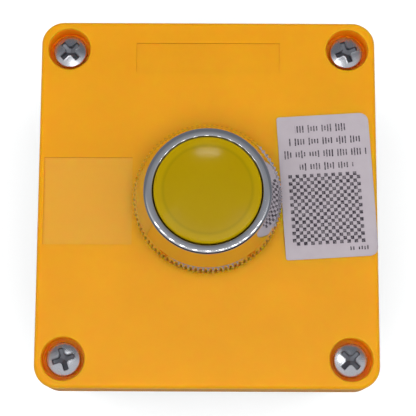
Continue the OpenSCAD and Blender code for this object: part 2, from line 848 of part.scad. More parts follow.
module barrel_housing() {
    color("dimgray") difference() {
        union() {
            translate([0, 0, plate_top]) linear_extrude(housing_h)
                round_rect(housing_s, housing_s, housing_r);
            translate([0, 0, housing_top]) cylinder(r = barrel_r, h = case_h + barrel_up - housing_top);
            key(housing_top - eps, case_h - key_play);
        }
        translate([0, 0, plate_top]) cylinder(d = barrel_bore_d, h = case_h);
        difference() {
            translate([0, 0, plate_top - eps]) cylinder(d = chamber_d, h = shoulder_z - plate_top + eps);
            both_ends() translate([-guide_w / 2, chamber_d / 2 - guide_in, 0])
                cube([guide_w, 2 * guide_in, case_h]);
        }
        four_corners(plate_screw_d / 2, plate_screw_d / 2)
            translate([0, 0, plate_top - eps]) cylinder(d = m_screw_d + bore_play, h = m_screw_len);
        box([-housing_s, housing_s], [-window_w / 2, window_w / 2],
            [plate_top + window_in, shoulder_z - window_in]);
    }
}

module panel_gasket() {
    color("black") translate([0, 0, housing_top]) difference() {
        cylinder(d = gasket_d, h = gasket_t);
        translate([0, 0, -eps]) cylinder(r = barrel_r + gasket_play, h = gasket_t + 2 * eps);
        key(-eps, gasket_t + eps, gasket_play);
    }
}

module carrier_plate() {
    slot_x = max(leg_x, neck_x) / 2 + slot_play;
    slot_y = max(leg_y, stem_y) / 2 + slot_play;
    color("dimgray") difference() {
        translate([0, 0, block_top]) linear_extrude(plate_t) round_rect(plate_w, plate_l, plate_r);
        translate([0, 0, block_top - eps]) cylinder(r = collar_r + carrier_play, h = plate_t + 2 * eps);
        for (s = [-1, 1])
            translate([s * block_pitch, 0, 0])
                box([-slot_x, slot_x], [-slot_y, slot_y], [block_top - eps, plate_top + eps]);
        for (i = [-1:1])
            translate([i * block_pitch, 0, block_top - eps]) both_ends()
                box([-hook_w / 2 - carrier_play, hook_w / 2 + carrier_play],
                    [hook_y - hook_t - carrier_play, hook_y + carrier_play], [0, plate_t + 2 * eps]);
        four_corners(plate_screw_d / 2, plate_screw_d / 2) translate([0, 0, block_top - eps]) {
            cylinder(d = m_screw_d + 2 * carrier_play, h = plate_t + 2 * eps);
            cylinder(d1 = m_head_d + 2 * carrier_play, d2 = m_screw_d + 2 * carrier_play,
                h = m_head_h + eps);
        }
    }
}

module carrier_screws() {
    color("silver") four_corners(plate_screw_d / 2, plate_screw_d / 2) translate([0, 0, block_top]) {
        difference() {
            cylinder(d1 = m_head_d, d2 = m_screw_d, h = m_head_h);
            mirror([0, 0, 1]) cross_recess(m_cross_l, m_cross_w, m_cross_depth);
        }
        translate([0, 0, m_head_h - eps]) cylinder(d = m_screw_d, h = m_screw_len - m_head_h);
    }
}

// One terminal strip on the +Y side: an arm at arm_z that reaches in to inner_y,
// a riser in the partition and a pad under the clamp screw
module strip(inner_y, arm_z, grow = 0) {
    x = strip_w / 2 + grow;
    box([-x, x], [inner_y - grow, riser_y + strip_t + grow], [arm_z - grow, arm_z + strip_t + grow]);
    box([-x, x], [riser_y - grow, riser_y + strip_t + grow], [pad_z - grow, arm_z + strip_t + grow]);
    box([-x, x], [riser_y - grow, outer_y + grow], [pad_z - grow, pad_z + strip_t + grow]);
}

// Hole in a pad, a clamp plate or a moulding round a terminal screw
module terminal_hole(play, h) {
    translate([0, screw_y, block_z - eps]) cylinder(d = t_screw_d + play, h = h);
}

module drilled_strip(inner_y, arm_z) {
    difference() {
        strip(inner_y, arm_z);
        terminal_hole(bore_play, pad_up + 2 * strip_t);
    }
}

module clamp_plate() {
    difference() {
        box([-clamp_w / 2, clamp_w / 2], [screw_y - clamp_l / 2, screw_y + clamp_l / 2],
            [pad_z - clamp_t, pad_z]);
        terminal_hole(2 * bore_play, pad_up + strip_t);
    }
}

module terminal_screw() {
    top = pad_z - clamp_t;
    translate([0, screw_y, 0]) {
        difference() {
            translate([0, 0, top - t_head_h]) cylinder(d = t_head_d, h = t_head_h);
            translate([0, 0, top - t_head_h]) mirror([0, 0, 1])
                cross_recess(t_cross_l, t_cross_w, t_cross_depth);
        }
        translate([0, 0, top - eps]) cylinder(d = t_screw_d, h = t_screw_len);
    }
}

module hook() {
    box([-hook_w / 2, hook_w / 2], [hook_y - hook_t, hook_y], [block_top - eps, hook_top]);
    box([-hook_w / 2, hook_w / 2], [hook_y - hook_t, hook_y + hook_barb], [plate_top + hook_gap, hook_top]);
}

// Bay for a clamp screw, open at the block's end and underside
module terminal_bay() {
    box([-chamber_x, chamber_x], [half_l - bay_l, half_l + eps],
        [block_z - eps, pad_z + strip_t + strip_play]);
}

module contact_case(arm_z) {
    x = block_w / 2;
    guide_x = neck_x / 2 + stem_play;
    guide_y = stem_y / 2 + stem_play;
    difference() {
        union() {
            box([-x, chamber_x], [-half_l, half_l], [block_z, block_top]);
            both_ends() hook();
        }
        box([-chamber_x, x], [-chamber_y, chamber_y], [block_z + block_wall, block_top - block_wall]);
        box([-guide_x, guide_x], [-guide_y, guide_y], [block_top - 2 * block_wall, block_top + eps]);
        both_ends() {
            terminal_bay();
            strip(tip_y - tip_d / 2 - arm_past, arm_z, strip_play);
            terminal_hole(4 * bore_play, pad_up + t_screw_len + strip_t);
        }
    }
}

module contact_cover() {
    difference() {
        box([chamber_x, block_w / 2], [-half_l, half_l], [block_z, block_top]);
        both_ends() box([0, block_w], [half_l - bay_l, half_l + eps],
            [block_z - eps, pad_z + strip_t + strip_play]);
        box([chamber_x + block_wall / 2, block_w], [-chamber_y, chamber_y],
            [block_z + 2 * block_wall, block_top - 2 * block_wall]);
    }
}

// Stem whose shoulder keeps it in its block, with a window for its bridge
module stem(window_z, window_top) {
    shoulder = block_top - block_wall - stem_gap;
    window_x = bridge_w / 2 + stem_play;
    difference() {
        union() {
            box([-stem_x / 2, stem_x / 2], [-stem_y / 2, stem_y / 2], [stem_z, shoulder]);
            box([-neck_x / 2, neck_x / 2], [-stem_y / 2, stem_y / 2], [stem_z, stem_top]);
        }
        box([-window_x, window_x], [-stem_y, stem_y], [window_z, window_top]);
    }
}

// Bridge whose tips point up (side 1) or down (side -1)
module bridge(side) {
    tip_z = side > 0 ? bridge_z + bridge_t : bridge_z - tip_h;
    box([-bridge_w / 2, bridge_w / 2], [-bridge_l / 2, bridge_l / 2], [bridge_z, bridge_z + bridge_t]);
    both_ends() translate([0, tip_y, tip_z]) cylinder(d = tip_d, h = tip_h);
}

module fixed_contacts(arm_z, tip_z) {
    both_ends() {
        drilled_strip(tip_y - tip_d / 2 - arm_past, arm_z);
        translate([0, tip_y, tip_z]) cylinder(d = tip_d, h = tip_h);
    }
}

module contact_spring() {
    coil(c_spring_d, c_spring_wire, block_z + block_wall, stem_z, c_spring_turns, 6, 14);
}

// The NO block is the mirror image, on the left, so that both covers face outwards
module no_side() {
    mirror([1, 0, 0]) translate([block_pitch, 0, 0]) children();
}

module nc_side() {
    translate([block_pitch, 0, 0]) children();
}

module no_block_case() {
    color("gray") no_side() contact_case(no_arm_z);
}

module no_block_cover() {
    color("lightgray") no_side() contact_cover();
}

module no_stem() {
    color("green") no_side() stem(bridge_z, bridge_z + bridge_t + no_window_h);
}

module no_bridge() {
    color("goldenrod") no_side() bridge(-1);
}

module no_spring() {
    color("silver") no_side() contact_spring();
}

module no_terminals() {
    color("goldenrod") no_side() fixed_contacts(no_arm_z, no_arm_z + strip_t);
}

module no_clamp_plates() {
    color("silver") no_side() both_ends() clamp_plate();
}

module no_terminal_screws() {
    color("silver") no_side() both_ends() terminal_screw();
}

module nc_block_case() {
    color("gray") nc_side() contact_case(nc_arm_z);
}

module nc_block_cover() {
    color("lightgray") nc_side() contact_cover();
}

module nc_stem() {
    color("red") nc_side() stem(bridge_z - nc_window_h, bridge_z + bridge_t);
}

module nc_bridge() {
    color("goldenrod") nc_side() bridge(1);
}

module nc_spring() {
    color("silver") nc_side() contact_spring();
}

module nc_terminals() {
    color("goldenrod") nc_side() fixed_contacts(nc_arm_z, nc_arm_z - tip_h);
}

module nc_clamp_plates() {
    color("silver") nc_side() both_ends() clamp_plate();
}

module nc_terminal_screws() {
    color("silver") nc_side() both_ends() terminal_screw();
}

// Tab that joins the socket's terminal to the socket's floor
module shell_tab(grow = 0) {
    box([-tab_w / 2 - grow, tab_w / 2 + grow], [shell_arm_y - grow, shell_arm_y + strip_t + grow],
        [lamp_arm_z + strip_t / 2, socket_z]);
}

module lamp_strips(grow = 0) {
    mirror([0, 1, 0]) {
        strip(shell_arm_y, lamp_arm_z, grow);
        shell_tab(grow);
    }
    strip(-centre_arm_past, lamp_arm_z, grow);
}

module lamp_block_case() {
    x = block_w / 2;
    color("gray") difference() {
        union() {
            box([-x, x], [-half_l, half_l], [block_z, block_top]);
            translate([0, 0, block_top]) cylinder(r = collar_r, h = collar_h);
            both_ends() hook();
        }
        translate([0, 0, socket_z]) cylinder(r = socket_r + socket_fit, h = case_h);
        translate([0, 0, lamp_arm_z]) cylinder(d = end_contact_d + 2 * bore_play, h = case_h);
        both_ends() {
            terminal_bay();
            terminal_hole(4 * bore_play, pad_up + t_screw_len + strip_t);
        }
        lamp_strips(strip_play);
    }
}

// Socket with two slots that hook over the lamp's pins
module lamp_socket() {
    slot = pin_r + pin_play;
    color("goldenrod") difference() {
        translate([0, 0, socket_z]) cylinder(r = socket_r, h = socket_h);
        translate([0, 0, socket_z + socket_wall]) cylinder(r = socket_bore_r, h = socket_h);
        translate([0, 0, socket_z - eps]) cylinder(d = end_contact_d + socket_spare, h = lamp_up);
        for (a = [0, 180])
            rotate([0, 0, a]) {
                box([0, socket_r + 1], [-slot, slot], [pin_z - slot, socket_z + socket_h + eps]);
                rotate_extrude(angle = slot_turn) translate([socket_bore_r - socket_wall, pin_z - slot])
                    square([3 * socket_wall, 2 * slot]);
            }
    }
}

module lamp_contact() {
    color("goldenrod") translate([0, 0, lamp_arm_z + strip_t])
        cylinder(d = end_contact_d, h = lamp_z - end_contact_h - lamp_arm_z - strip_t);
}

module lamp_cap() {
    color("goldenrod") {
        translate([0, 0, lamp_z]) cylinder(d = lamp_d, h = lamp_cap_l);
        translate([0, 0, lamp_z - end_contact_h]) cylinder(d = end_contact_d, h = end_contact_h + eps);
        for (s = [-1, 1])
            rotate([0, 0, pin_turn]) translate([0, 0, pin_z]) rotate([0, s * 90, 0])
                cylinder(r = pin_r, h = socket_r);
    }
}

module lamp_glass() {
    neck_r = lamp_d / 2 - neck_in;
    r = glass_d / 2;
    base = lamp_z + lamp_cap_l;
    color("lightyellow") rotate_extrude() polygon(concat(
        [[0, base], [neck_r, base], [neck_r, base + neck_h], [r, base + 3 * neck_h]],
        arc(0, base + glass_l - r, r, 0, 90, 14)));
}

module lamp_terminals() {
    color("goldenrod") {
        mirror([0, 1, 0]) {
            drilled_strip(shell_arm_y, lamp_arm_z);
            shell_tab();
        }
        drilled_strip(-centre_arm_past, lamp_arm_z);
    }
}

module lamp_clamp_plates() {
    color("silver") both_ends() clamp_plate();
}

module lamp_terminal_screws() {
    color("silver") both_ends() terminal_screw();
}

base_case();
lid_cover();
lid_seal();
lid_screws();
paper_label();
ring_nut();
lens_cap();
lens_diffuser();
push_tube();
tube_oring();
return_spring();
barrel_housing();
panel_gasket();
carrier_plate();
carrier_screws();
no_block_case();
no_block_cover();
no_stem();
no_bridge();
no_spring();
no_terminals();
no_clamp_plates();
no_terminal_screws();
nc_block_case();
nc_block_cover();
nc_stem();
nc_bridge();
nc_spring();
nc_terminals();
nc_clamp_plates();
nc_terminal_screws();
lamp_block_case();
lamp_socket();
lamp_contact();
lamp_cap();
lamp_glass();
lamp_terminals();
lamp_clamp_plates();
lamp_terminal_screws();
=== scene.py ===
import math

import bmesh
import bpy
from mathutils import Matrix, Vector


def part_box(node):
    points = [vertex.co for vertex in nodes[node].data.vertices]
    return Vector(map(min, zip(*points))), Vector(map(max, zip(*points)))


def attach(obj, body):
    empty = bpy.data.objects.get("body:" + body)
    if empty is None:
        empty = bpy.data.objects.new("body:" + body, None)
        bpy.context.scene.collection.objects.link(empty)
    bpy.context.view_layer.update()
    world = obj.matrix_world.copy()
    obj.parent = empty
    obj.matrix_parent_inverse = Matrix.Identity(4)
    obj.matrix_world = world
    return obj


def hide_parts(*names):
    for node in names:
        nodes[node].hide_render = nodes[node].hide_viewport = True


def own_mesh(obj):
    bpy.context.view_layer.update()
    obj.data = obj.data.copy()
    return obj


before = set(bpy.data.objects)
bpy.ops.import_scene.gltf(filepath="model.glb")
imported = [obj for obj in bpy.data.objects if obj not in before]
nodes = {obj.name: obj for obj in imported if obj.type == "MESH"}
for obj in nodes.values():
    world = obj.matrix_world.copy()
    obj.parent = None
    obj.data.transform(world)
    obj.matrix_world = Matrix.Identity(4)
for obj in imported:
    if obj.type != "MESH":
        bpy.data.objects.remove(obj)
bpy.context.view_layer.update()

scene = bpy.context.scene
mm = 0.001


# Helpers

def linear(hexColour):
    parts = [int(hexColour[i:i + 2], 16) / 255 for i in (1, 3, 5)]
    return tuple(c / 12.92 if c <= 0.04045 else ((c + 0.055) / 1.055) ** 2.4 for c in parts) + (1,)


# Inputs stand in the node's own order, or go by name. A node given as an input is linked by its first output
def addNode(tree, kind, inputs=(), **settings):
    node = tree.nodes.new("ShaderNode" + kind)
    for name, value in settings.items():
        setattr(node, name, value)
    for socket, value in inputs.items() if isinstance(inputs, dict) else enumerate(inputs):
        if isinstance(value, bpy.types.Node):
            value = value.outputs[0]
        if isinstance(value, bpy.types.NodeSocket):
            tree.links.new(value, node.inputs[socket])
        else:
            node.inputs[socket].default_value = value
    return node


def emptyMaterial(name):
    material = bpy.data.materials.new(name)
    material.use_nodes = True
    material.node_tree.nodes.clear()
    return material, material.node_tree


def addObject(name, data, material=None):
    piece = bpy.data.objects.new(name, data)
    scene.collection.objects.link(piece)
    if material:
        data.materials.append(material)
    return piece


def meshFrom(bm, name):
    mesh = bpy.data.meshes.new(name)
    bm.to_mesh(mesh)
    bm.free()
    return mesh


# Smooths a mesh but for the edges sharper than an angle in degrees
def smoothByAngle(bm, angle):
    for face in bm.faces:
        face.smooth = True
    for edge in bm.edges:
        edge.smooth = len(edge.link_faces) == 2 and edge.calc_face_angle() < math.radians(angle)


# Camera. It looks down on the lid, a little from the cable entry's side. Lengths are in mm
cameraPlan = {
    "lens": 121.15, "frame": 36,
    "place": (0.08, -52.5, 328.9),
    "target": (0.08, -1.4, 54.0),
    "roll": -0.231,                  # degrees
    "nearest": 10,
}


def makeCamera(plan):
    place = Vector(plan["place"]) * mm
    back = (place - Vector(plan["target"]) * mm).normalized()
    right = Vector((1, 0, 0))
    up = back.cross(right)
    roll = math.radians(plan["roll"])
    axisX = right * math.cos(roll) - up * math.sin(roll)
    axisY = right * math.sin(roll) + up * math.cos(roll)
    camera = addObject("camera", bpy.data.cameras.new("camera"))
    camera.data.lens = plan["lens"]
    camera.data.sensor_width = plan["frame"]
    camera.data.clip_start = plan["nearest"] * mm
    camera.matrix_world = Matrix.Translation(place) @ Matrix((axisX, axisY, back)).transposed().to_4x4()
    scene.camera = camera


# Lights. Lengths are in metres, tilt is from straight above and turn is from +X, both in degrees. The soft
# panels light the object and aren't mirrored in it
lightPlan = {
    "overhead": {"tilt": 8, "turn": 270, "far": 0.7, "size": (0.7, 0.7), "radiance": 2.36},
    "left": {"tilt": 52, "turn": 180, "far": 0.9, "size": (0.7, 0.7), "radiance": 0.9},
    "right": {"tilt": 52, "turn": 0, "far": 0.9, "size": (0.7, 0.7), "radiance": 0.9},
    "back": {"tilt": 50, "turn": 90, "far": 0.9, "size": (0.7, 0.5), "radiance": 0.5},
    "front": {"tilt": 48, "turn": 270, "far": 0.9, "size": (0.7, 0.5), "radiance": 0.2},
}
lightTarget = Vector((0, 0, 0.05))

# Lamps that only their own pieces mirror: a high one in the lens, one close over the lid in the screws, and
# a fan of tubes in the ring and the lens. The fan opens towards -Y, with its tubes closer together at the sides
mirrorPlan = {
    "highLamp": {"place": (0, 0.36, 0.775), "size": (0.14, 0.036), "radiance": 22, "seenIn": ("lens_cap",)},
    "screwLamp": {"place": (-0.018, -0.004, 0.209), "size": (0.055, 0.052), "radiance": 3.0,
                  "seenIn": ("lidScrews",)},
}
tubePlan = {"halfCount": 5, "halfSpread": 64, "middle": 271, "crowding": 50, "size": (0.2, 0.011),
            "hub": (0, 0.05, 0.42), "fromHub": 0.18, "radiance": 6, "seenIn": ("ringNut", "lens_cap")}


def makeAreaLight(name, place, turn, plan, mirrored):
    light = bpy.data.lights.new(name, "AREA")
    light.shape = "ELLIPSE" if mirrored else "RECTANGLE"
    light.size, light.size_y = plan["size"]
    share = math.pi / 4 if mirrored else 1        # of its box's area
    light.energy = plan["radiance"] * math.pi * light.size * light.size_y * share
    lamp = addObject(name, light)
    lamp.location = place
    lamp.rotation_euler = turn
    lamp.visible_camera = False
    lamp.visible_glossy = mirrored
    lamp.visible_diffuse = not mirrored
    return lamp


def facing(place, target):
    return (Vector(place) - target).to_track_quat("Z", "Y").to_euler()


def makePanels():
    for name, plan in lightPlan.items():
        tilt, turn = math.radians(plan["tilt"]), math.radians(plan["turn"])
        toward = Vector((math.sin(tilt) * math.cos(turn), math.sin(tilt) * math.sin(turn), math.cos(tilt)))
        place = lightTarget + toward * plan["far"]
        makeAreaLight(name + "Panel", place, facing(place, lightTarget), plan, False)


def mirrorOnlyIn(lamp, names):
    seen = bpy.data.collections.new(lamp.name + "Mirrors")
    for name in names:
        seen.objects.link(bpy.data.objects[name])
    lamp.light_linking.receiver_collection = seen


# Made last, because each lamp names the pieces that mirror it
def makeMirrorLamps():
    for name, plan in mirrorPlan.items():
        lamp = makeAreaLight(name, plan["place"], facing(plan["place"], lightTarget), plan, True)
        mirrorOnlyIn(lamp, plan["seenIn"])
    half, crowding = tubePlan["halfCount"], math.radians(tubePlan["crowding"])
    for k in range(-half, half + 1):
        spread = tubePlan["halfSpread"] * math.sin(crowding * k / half) / math.sin(crowding)
        turn = math.radians(tubePlan["middle"] + spread)
        toward = Vector((math.cos(turn), math.sin(turn), 0))
        place = Vector(tubePlan["hub"]) + toward * tubePlan["fromHub"]
        mirrorOnlyIn(makeAreaLight(f"tubeLamp{k}", place, (0, 0, turn), tubePlan, True), tubePlan["seenIn"])


# Studio: a pale floor, a grey ceiling over it, and grey flats and low cards around it, which the chrome
# mirrors. Lengths are in metres. Walls and ceiling go from their near colour at nearY to their far one at farY
studioPlan = {
    "white": "#FFFFFF", "worldFill": "#8A8C92", "floorSize": 6, "floorColour": "#DCDCDA", "floorGlow": 0.42,
    "foot": (0.037, 0.042, 0), "footShadowFade": 0.012, "wallSegments": 64,
}
ceilingPlan = {"size": 3.4, "height": 1.3, "near": "#D9DADE", "far": "#767980", "nearY": -0.05, "farY": 0.366}
wallPlans = {
    "flats": {"radius": 1.62, "height": 1.3, "near": "#1E2129", "far": "#767980",
              "nearY": -1.377, "farY": -0.162},
    "cards": {"radius": 0.12, "height": 0.062, "near": "#A8928C", "far": "#868890",
              "nearY": -0.102, "farY": -0.012},
}


def makeWorld(plan):
    world = bpy.data.worlds.new("world")
    scene.world = world
    world.use_nodes = True
    tree = world.node_tree
    tree.nodes.clear()
    path = addNode(tree, "LightPath").outputs
    mirrored = addNode(tree, "Math", (path["Is Camera Ray"], path["Is Glossy Ray"]), operation="MAXIMUM")
    seen = addNode(tree, "Math", (mirrored, path["Is Transmission Ray"]), operation="MAXIMUM")
    fill = addNode(tree, "Background", (linear(plan["worldFill"]),))
    white = addNode(tree, "Background", (linear(plan["white"]),))
    mix = addNode(tree, "MixShader", (seen, fill, white))
    addNode(tree, "OutputWorld", (mix,))


def makeSheet(name, size, height, material):
    bm = bmesh.new()
    bmesh.ops.create_grid(bm, x_segments=1, y_segments=1, size=size / 2)
    sheet = addObject(name, meshFrom(bm, name), material)
    sheet.location.z = height
    return sheet


# The floor is lifted to white. In its reflections the lift is left out under the object and close round its
# foot, a painted contact shadow
def makeFloor(plan):
    material, tree = emptyMaterial("paintedFloor")
    place = addNode(tree, "NewGeometry").outputs["Position"]
    folded = addNode(tree, "VectorMath", (place,), operation="ABSOLUTE")
    fromFoot = addNode(tree, "VectorMath", (folded, plan["foot"]), operation="SUBTRACT")
    out = addNode(tree, "SeparateXYZ", (fromFoot,)).outputs
    farther = addNode(tree, "Math", (out["X"], out["Y"]), operation="MAXIMUM")
    # Glossy rays lose the floor's lift under the foot, fading in round it: a painted contact shadow in
    # reflections
    clear = addNode(tree, "MapRange", (farther, 0, plan["footShadowFade"]))
    path = addNode(tree, "LightPath").outputs
    direct = addNode(tree, "Math", (path["Is Camera Ray"], path["Is Transmission Ray"]), operation="MAXIMUM")
    mirrored = addNode(tree, "Math", (path["Is Glossy Ray"], clear), operation="MULTIPLY")
    seen = addNode(tree, "Math", (direct, mirrored), operation="MAXIMUM")
    strength = addNode(tree, "Math", (seen, plan["floorGlow"]), operation="MULTIPLY")
    paint = addNode(tree, "BsdfDiffuse", (linear(plan["floorColour"]),))
    lift = addNode(tree, "Emission", (linear(plan["white"]), strength))
    both = addNode(tree, "AddShader", (paint, lift))
    addNode(tree, "OutputMaterial", (both,))
    makeSheet("floor", plan["floorSize"], 0, material)


# Paint with an even glow that goes from one grey to another along Y
def gradedPaint(name, plan, blend):
    material, tree = emptyMaterial(name)
    place = addNode(tree, "NewGeometry").outputs["Position"]
    y = addNode(tree, "SeparateXYZ", (place,)).outputs["Y"]
    share = addNode(tree, "MapRange", (y, plan["nearY"], plan["farY"]), interpolation_type=blend)
    colour = addNode(tree, "MixRGB", (share, linear(plan["near"]), linear(plan["far"])))
    glow = addNode(tree, "Emission", (colour,))
    addNode(tree, "OutputMaterial", (glow,))
    return material


# The ceiling is brighter at -Y, over the camera's side, which gives the satin lid its haze at the front
def makeCeiling(plan):
    ceiling = makeSheet("ceiling", plan["size"], plan["height"], gradedPaint("greyCeiling", plan, "LINEAR"))
    ceiling.visible_camera = False


# A round wall in two tones. The far flats are dark on the camera's side
def makeWall(name, plan):
    bm = bmesh.new()
    bmesh.ops.create_cone(bm, cap_ends=False, segments=studioPlan["wallSegments"], radius1=plan["radius"],
                          radius2=plan["radius"], depth=plan["height"])
    wall = addObject(name, meshFrom(bm, name), gradedPaint(name + "Paint", plan, "SMOOTHSTEP"))
    wall.location.z = plan["height"] / 2
    wall.visible_camera = False
    wall.visible_diffuse = False
    wall.visible_shadow = False


makeCamera(cameraPlan)
makePanels()
makeWorld(studioPlan)
makeFloor(studioPlan)
makeCeiling(ceilingPlan)
for name, plan in wallPlans.items():
    makeWall(name, plan)
print("camera, lights and studio are made")


# Materials. Pattern sizes are in mm, and a range holds the pattern's values between which the finish changes

# Injection-moulded thermoplastic: a satin skin, faint flow clouds and the fine pits of a spark-eroded mould.
# The pits are really about 0.05 mm wide, and drawn at grain so that they show
mouldPlan = {"grain": 0.3, "grainRoughness": 0.6, "grainRange": (0.25, 0.75), "glossSpread": 0.05,
             "cloudDetail": 3.0, "cloudRoughness": 0.55, "cloudRange": (0.3, 0.7)}


def mouldedSkin(tree, place, plan):
    mould, gloss = mouldPlan, plan["roughness"]
    clouds = addNode(tree, "TexNoise", {"Vector": place, "Scale": 1 / (plan["cloud"] * mm),
                                        "Detail": mould["cloudDetail"], "Roughness": mould["cloudRoughness"]})
    share = addNode(tree, "MapRange", (clouds, *mould["cloudRange"]))
    tone = addNode(tree, "MixRGB", (share, linear(plan["deep"]), linear(plan["colour"])))
    pits = addNode(tree, "TexNoise", {"Vector": place, "Scale": 1 / (mould["grain"] * mm),
                                      "Roughness": mould["grainRoughness"]})
    skin = addNode(tree, "MapRange", (pits, *mould["grainRange"], gloss - mould["glossSpread"],
                                      gloss + mould["glossSpread"]))
    bump = addNode(tree, "Bump", {"Height": pits, "Distance": plan["relief"] * mm})
    return tone, skin, bump


def mouldedPlastic(name, plan):
    material, tree = emptyMaterial(name)
    place = addNode(tree, "TexCoord").outputs["Object"]
    tone, skin, bump = mouldedSkin(tree, place, plan)
    shader = addNode(tree, "BsdfPrincipled", {"Base Color": tone, "Roughness": skin, "Normal": bump,
                                              "IOR": plan["ior"]})
    addNode(tree, "OutputMaterial", (shader,))
    return material


# Plated or drawn metal: its colour is its reflectance. Fine marks break its gloss, and a soft haze changes
# it from place to place. scratch is the spacing of the finest marks
metalPlan = {"markDetail": 4.0, "markRoughness": 0.6,
             "haze": 2.5, "hazeRange": (0.3, 0.7), "hazeGloss": (0.7, 1.3)}


def metalMarks(tree, place, plan):
    marks = addNode(tree, "TexNoise", {"Vector": place, "Scale": 1 / (plan["scratch"] * mm),
                                       "Detail": metalPlan["markDetail"],
                                       "Roughness": metalPlan["markRoughness"]})
    return addNode(tree, "Bump", {"Height": marks, "Distance": plan["relief"] * mm})


def bareMetal(name, plan):
    material, tree = emptyMaterial(name)
    place = addNode(tree, "TexCoord").outputs["Object"]
    haze = addNode(tree, "TexNoise", {"Vector": place, "Scale": 1 / (metalPlan["haze"] * mm)})
    gloss = [plan["roughness"] * part for part in metalPlan["hazeGloss"]]
    skin = addNode(tree, "MapRange", (haze, *metalPlan["hazeRange"], *gloss))
    shader = addNode(tree, "BsdfPrincipled", {"Base Color": linear(plan["colour"]), "Metallic": 1.0,
                                              "Roughness": skin, "Normal": metalMarks(tree, place, plan)})
    addNode(tree, "OutputMaterial", (shader,))
    return material


# Bright chromium over nickel on turned brass. The top has fine turned marks and streaks of wear, and the
# knurl is duller, with a brown painted shade at the roots of its teeth. Radii and heights are in mm. The
# pattern of the streaks has 26 cells to one radian, about 0.5 mm each, and half a cell to one mm outwards.
# The front right, which hands reach first, is the more worn, and handled is how far towards it the wear begins
# and is full
chromeFinish = {
    "colour": "#D4D5D8", "rootShadeColour": "#6A4630", "roughness": 0.05, "knurlRoughness": 0.28, "wornRoughness": 0.25,
    "knurlTop": 58.18, "rootRadius": 14.38, "tipRadius": 14.62, "relief": 0.0005, "scratch": 0.35,
    "wornFrom": 64.3, "streaks": 26.0, "streaksOut": 0.5, "streakDetail": 3.0, "wornRange": (0.48, 0.7),
    "handled": (5, 14),
}


def chromePlate(plan):
    material, tree = emptyMaterial("brightChromiumPlate")
    place = addNode(tree, "TexCoord").outputs["Object"]
    sized = addNode(tree, "VectorMath", (place, (1 / mm,) * 3), operation="MULTIPLY")
    x, y, z = addNode(tree, "SeparateXYZ", (sized,)).outputs
    level = addNode(tree, "VectorMath", (sized, (1, 1, 0)), operation="MULTIPLY")
    radius = addNode(tree, "VectorMath", (level,), operation="LENGTH").outputs["Value"]

    # A brown painted shade darkens the knurl towards the roots of its teeth
    inKnurl = addNode(tree, "Math", (z, plan["knurlTop"]), operation="LESS_THAN")
    depth = addNode(tree, "MapRange", (radius, plan["tipRadius"], plan["rootRadius"]))
    rootShadeShare = addNode(tree, "Math", (inKnurl, depth), operation="MULTIPLY")
    tone = addNode(tree, "MixRGB", (rootShadeShare, linear(plan["colour"]), linear(plan["rootShadeColour"])))

    turn = addNode(tree, "Math", (y, x), operation="ARCTAN2")
    along = addNode(tree, "Math", (turn, plan["streaks"]), operation="MULTIPLY")
    out = addNode(tree, "Math", (radius, plan["streaksOut"]), operation="MULTIPLY")
    around = addNode(tree, "CombineXYZ", (along, out, z))
    streaks = addNode(tree, "TexNoise", {"Vector": around, "Scale": 1.0, "Detail": plan["streakDetail"]})
    worn = addNode(tree, "MapRange", (streaks, *plan["wornRange"]))
    frontRight = addNode(tree, "Math", (x, y), operation="SUBTRACT")
    handled = addNode(tree, "MapRange", (frontRight, *plan["handled"]))
    onTop = addNode(tree, "Math", (z, plan["wornFrom"]), operation="GREATER_THAN")
    rubbed = addNode(tree, "Math", (worn, handled), operation="MULTIPLY")
    wear = addNode(tree, "Math", (rubbed, onTop), operation="MULTIPLY")
    smooth = addNode(tree, "MapRange", (wear, 0, 1, plan["roughness"], plan["wornRoughness"]))
    skin = addNode(tree, "MapRange", (inKnurl, 0, 1, smooth, plan["knurlRoughness"]))
    shader = addNode(tree, "BsdfPrincipled", {"Base Color": tone, "Metallic": 1.0, "Roughness": skin,
                                              "Normal": metalMarks(tree, place, plan)})
    addNode(tree, "OutputMaterial", (shader,))
    return material


# ABS lid, injection-moulded and sparked, with fields polished in the mould; their paler colour is a painted
# sheen. The plastic lets a little light in, so corners glow orange, and the counterbores' bright orange is a
# painted glow. The rounded edges look yellower through a painted shade, and the upright sides carry a darker
# painted shade as well as a coarser spark finish. Lengths are in mm, and the edge and side ranges are heights
# of the normal, 1 straight up
lidFinish = {
    "colour": "#E19E00", "deep": "#DC9900", "field": "#DBA02A", "edge": "#C79600", "side": "#B07000",
    "bore": "#FF9600", "roughness": 0.36, "fieldRoughness": 0.32, "sideRoughness": 0.75, "specular": 0.26,
    "ior": 1.54, "cloud": 14.0, "relief": 0.004, "fieldMiddle": 23.95, "fieldHalf": 8.85,
    "edgeRange": (0.3, 0.99), "sideRange": (0.3, 0.1),
    "screw": (28.3, 31.5, 0), "boreRadius": 4.6, "boreSunk": 0.25,
    "weight": 0.85, "scatter": 4.0, "scatterColour": (1.0, 0.35, 0.05),
}


